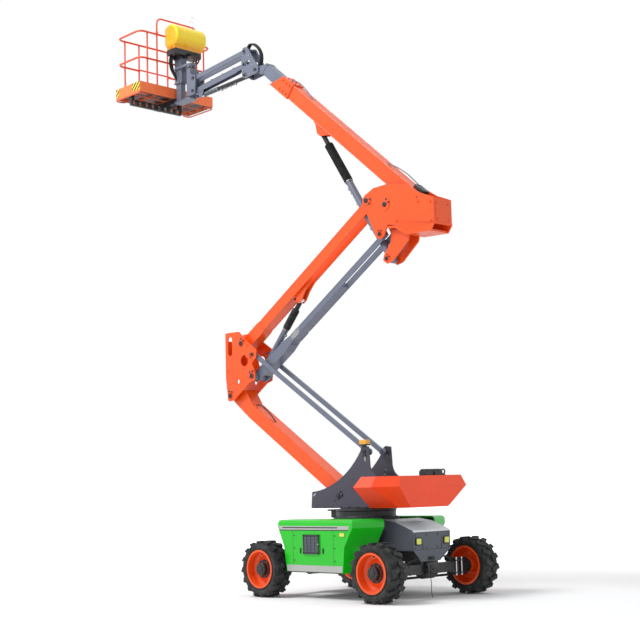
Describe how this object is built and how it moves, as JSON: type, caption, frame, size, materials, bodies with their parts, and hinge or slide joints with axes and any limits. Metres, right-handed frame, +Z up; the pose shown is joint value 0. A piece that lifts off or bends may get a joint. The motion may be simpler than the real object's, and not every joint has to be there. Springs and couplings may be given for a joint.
{
  "type": "articulating boom lift",
  "caption": "Self-propelled work platform on lugged wheels: a slewing turret carries two folding risers, a telescoping boom and a jib that hold a railed basket level.",
  "frame": {"origin": "on the ground under the slewing axis", "axes": "+X towards the steered end and the counterweight, +Y to the machine's left when looking along +X, +Z up; the booms reach towards -X"},
  "size_m": [7.0041, 2.3, 10.1859],
  "materials": {
    "paint_orange": "satin paint",
    "paint_deep_orange": "satin paint",
    "paint_violet_gray": "satin paint",
    "paint_blue_gray": "satin paint",
    "frame_black": "satin paint",
    "cover_green": "glossy moulding",
    "cover_gray": "glossy moulding",
    "cover_yellow": "glossy moulding",
    "lamp_amber": "moulded lens",
    "battery_case": "moulded case",
    "rail_red": "gloss paint",
    "floor_red": "satin paint",
    "rim_orange": "satin paint",
    "tyre_rubber": "moulded rubber",
    "ram_barrel": "satin paint",
    "ram_rod": "polished rod"
  },
  "bodies": {
    "chassis": {"chassis_frame": "frame_black", "side_covers": "cover_green", "end_covers": "cover_gray", "lamps": "lamp_amber", "battery_packs": "battery_case", "axles": "frame_black"},
    "hatch_left": {"hatch_left": "cover_green"},
    "hatch_right": {"hatch_right": "cover_green"},
    "knuckle_left": {"knuckle_left": "frame_black"},
    "knuckle_right": {"knuckle_right": "frame_black"},
    "tie_rod": {"tie_rod": "frame_black"},
    "wheel_front_left": {"tyre_front_left": "tyre_rubber", "rim_front_left": "rim_orange"},
    "wheel_front_right": {"tyre_front_right": "tyre_rubber", "rim_front_right": "rim_orange"},
    "wheel_rear_left": {"tyre_rear_left": "tyre_rubber", "rim_rear_left": "rim_orange"},
    "wheel_rear_right": {"tyre_rear_right": "tyre_rubber", "rim_rear_right": "rim_orange"},
    "turret": {"turret": "paint_violet_gray", "counterweight": "paint_deep_orange"},
    "platform": {"platform_mast": "paint_blue_gray", "platform_base": "frame_black", "platform_floor": "floor_red", "platform_rails": "rail_red", "console": "cover_yellow"},
    "lower_riser": {"lower_riser": "paint_orange"},
    "level_bars": {"level_bars": "paint_blue_gray"},
    "mid_knuckle": {"mid_knuckle": "paint_orange"},
    "upper_riser": {"upper_riser": "paint_orange"},
    "upper_link": {"upper_link": "paint_blue_gray"},
    "upright": {"upright": "paint_orange"},
    "riser_barrel": {"riser_barrel": "paint_blue_gray"},
    "riser_rod": {"riser_rod": "ram_rod"},
    "main_boom": {"main_boom": "paint_orange"},
    "lift_barrel": {"lift_barrel": "paint_blue_gray"},
    "lift_rod": {"lift_rod": "ram_rod"},
    "fly_boom": {"fly_boom": "paint_blue_gray"},
    "boom_head": {"boom_head": "paint_blue_gray"},
    "jib_arm": {"jib_arm": "paint_blue_gray"},
    "jib_links": {"jib_links": "paint_blue_gray"},
    "jib_barrel": {"jib_barrel": "ram_barrel"},
    "jib_rod": {"jib_rod": "ram_rod"},
    "rotator": {"rotator": "frame_black"},
    "gate_bar": {"gate_bar": "rail_red"}
  },
  "joints": [
    {"name": "hatch_left", "type": "hinge", "parent": "chassis", "child": "hatch_left", "pos_m": [-0.33, 1.00615, 0.795], "axis": [0, 0, 1], "range_deg": [0, 100]},
    {"name": "hatch_right", "type": "hinge", "parent": "chassis", "child": "hatch_right", "pos_m": [-0.33, -1.00615, 0.795], "axis": [0, 0, -1], "range_deg": [0, 100]},
    {"name": "steer", "type": "hinge", "parent": "chassis", "child": "knuckle_left", "pos_m": [1.175, 0.78, 0.419], "axis": [0, 0, 1], "range_deg": [-30, 30]},
    {"name": "steer_right", "type": "hinge", "parent": "chassis", "child": "knuckle_right", "pos_m": [1.175, -0.78, 0.419], "axis": [0, 0, 1], "range_deg": [-30.5, 30.5]},
    {"name": "tie_rod", "type": "slide", "parent": "chassis", "child": "tie_rod", "axis": [0, -1, 0], "range_m": [-0.092, 0.092]},
    {"name": "wheel_front_left", "type": "hinge", "parent": "knuckle_left", "child": "wheel_front_left", "pos_m": [1.175, 0.9975, 0.419], "axis": [0, 1, 0], "continuous": true},
    {"name": "wheel_front_right", "type": "hinge", "parent": "knuckle_right", "child": "wheel_front_right", "pos_m": [1.175, -0.9975, 0.419], "axis": [0, 1, 0], "continuous": true},
    {"name": "wheel_rear_left", "type": "hinge", "parent": "chassis", "child": "wheel_rear_left", "pos_m": [-1.175, 0.9975, 0.419], "axis": [0, 1, 0], "continuous": true},
    {"name": "wheel_rear_right", "type": "hinge", "parent": "chassis", "child": "wheel_rear_right", "pos_m": [-1.175, -0.9975, 0.419], "axis": [0, 1, 0], "continuous": true},
    {"name": "slew", "type": "hinge", "parent": "chassis", "child": "turret", "pos_m": [0, 0, 1.297], "axis": [0, 0, 1], "range_deg": [-177.5, 177.5]},
    {"name": "riser_lift", "type": "hinge", "parent": "turret", "child": "lower_riser", "pos_m": [-0.34, 0, 1.48], "axis": [0, 1, 0], "range_deg": [-31, 36]},
    {"name": "level_bars", "type": "hinge", "parent": "turret", "child": "level_bars", "pos_m": [0.24, 0, 2.128], "axis": [0, 1, 0], "range_deg": [-31.5, 36.5]},
    {"name": "mid_knuckle", "type": "hinge", "parent": "lower_riser", "child": "mid_knuckle", "pos_m": [-2.9105, 0, 3.17493], "axis": [0, 1, 0], "range_deg": [-36.5, 31.5]},
    {"name": "upper_riser", "type": "hinge", "parent": "mid_knuckle", "child": "upper_riser", "pos_m": [-2.6105, 0, 4.02993], "axis": [0, -1, 0], "range_deg": [-31.5, 36.5]},
    {"name": "upper_link", "type": "hinge", "parent": "mid_knuckle", "child": "upper_link", "pos_m": [-2.3505, 0, 3.46993], "axis": [0, -1, 0], "range_deg": [-31.5, 36.5]},
    {"name": "upright", "type": "hinge", "parent": "upper_riser", "child": "upright", "pos_m": [0.39912, 0, 5.92959], "axis": [0, -1, 0], "range_deg": [-36.5, 31.5]},
    {"name": "riser_barrel", "type": "hinge", "parent": "mid_knuckle", "child": "riser_barrel", "pos_m": [-2.3505, 0, 3.46993], "axis": [0, -1, 0], "range_deg": [-26.4, 30.58]},
    {"name": "riser_rod", "type": "slide", "parent": "riser_barrel", "child": "riser_rod", "axis": [0.6666, 0, 0.7454], "range_m": [-0.3069, 0.3559]},
    {"name": "boom_lift", "type": "hinge", "parent": "upright", "child": "main_boom", "pos_m": [0.78512, 0, 5.80259], "axis": [0, 1, 0], "range_deg": [-40.6, 29.4]},
    {"name": "lift_barrel", "type": "hinge", "parent": "upright", "child": "lift_barrel", "pos_m": [0.71112, 0, 4.99759], "axis": [0, 1, 0], "range_deg": [-32.31, 23.54]},
    {"name": "lift_rod", "type": "slide", "parent": "lift_barrel", "child": "lift_rod", "axis": [-0.5375, 0, 0.8433], "range_m": [-0.3796, 0.2757]},
    {"name": "telescope", "type": "slide", "parent": "main_boom", "child": "fly_boom", "axis": [-0.7593, 0, 0.6508], "range_m": [0, 2.2]},
    {"name": "head_level", "type": "hinge", "parent": "fly_boom", "child": "boom_head", "pos_m": [-2.21195, 0, 8.67826], "axis": [0, 1, 0], "range_deg": [-29.9, 41.1]},
    {"name": "jib_lift", "type": "hinge", "parent": "boom_head", "child": "jib_arm", "pos_m": [-2.51195, 0, 8.84326], "axis": [0, 1, 0], "range_deg": [-60, 65]},
    {"name": "jib_links", "type": "hinge", "parent": "boom_head", "child": "jib_links", "pos_m": [-2.50195, 0, 9.07826], "axis": [0, 1, 0], "range_deg": [-60.5, 65.5]},
    {"name": "platform_level", "type": "hinge", "parent": "jib_arm", "child": "rotator", "pos_m": [-3.91658, 0, 8.72037], "axis": [0, 1, 0], "range_deg": [-65.5, 60.5]},
    {"name": "jib_barrel", "type": "hinge", "parent": "boom_head", "child": "jib_barrel", "pos_m": [-2.50695, 0, 8.65326], "axis": [0, 1, 0], "range_deg": [-60.15, 65.12]},
    {"name": "jib_rod", "type": "slide", "parent": "jib_barrel", "child": "jib_rod", "axis": [-0.9996, 0, -0.0284], "range_m": [-0.1783, 0.1929]},
    {"name": "platform_rotate", "type": "hinge", "parent": "rotator", "child": "platform", "pos_m": [-4.09999, 0, 8.93997], "axis": [0, 0, 1], "range_deg": [-80, 80]},
    {"name": "gate", "type": "hinge", "parent": "platform", "child": "gate_bar", "pos_m": [-5.19999, -0.33, 9.36997], "axis": [1, 0, 0], "range_deg": [0, 75]}
  ],
  "couplings": [
    {"joint": "steer_right", "follows": "steer", "ratio": 1},
    {"joint": "tie_rod", "follows": "steer", "m_per_rad": 0.17},
    {"joint": "level_bars", "follows": "riser_lift", "ratio": 1},
    {"joint": "mid_knuckle", "follows": "riser_lift", "ratio": -1},
    {"joint": "upper_riser", "follows": "riser_lift", "ratio": 1},
    {"joint": "upper_link", "follows": "riser_lift", "ratio": 1},
    {"joint": "upright", "follows": "riser_lift", "ratio": -1},
    {"joint": "riser_barrel", "follows": "riser_lift", "ratio": 0.8355},
    {"joint": "riser_rod", "follows": "riser_lift", "m_per_rad": 0.5616},
    {"joint": "lift_barrel", "follows": "boom_lift", "ratio": 0.7836},
    {"joint": "lift_rod", "follows": "boom_lift", "m_per_rad": 0.5314},
    {"joint": "head_level", "follows": "boom_lift", "ratio": -1},
    {"joint": "jib_links", "follows": "jib_lift", "ratio": 1},
    {"joint": "platform_level", "follows": "jib_lift", "ratio": -1},
    {"joint": "jib_barrel", "follows": "jib_lift", "ratio": 0.9942},
    {"joint": "jib_rod", "follows": "jib_lift", "m_per_rad": 0.1674}
  ]
}
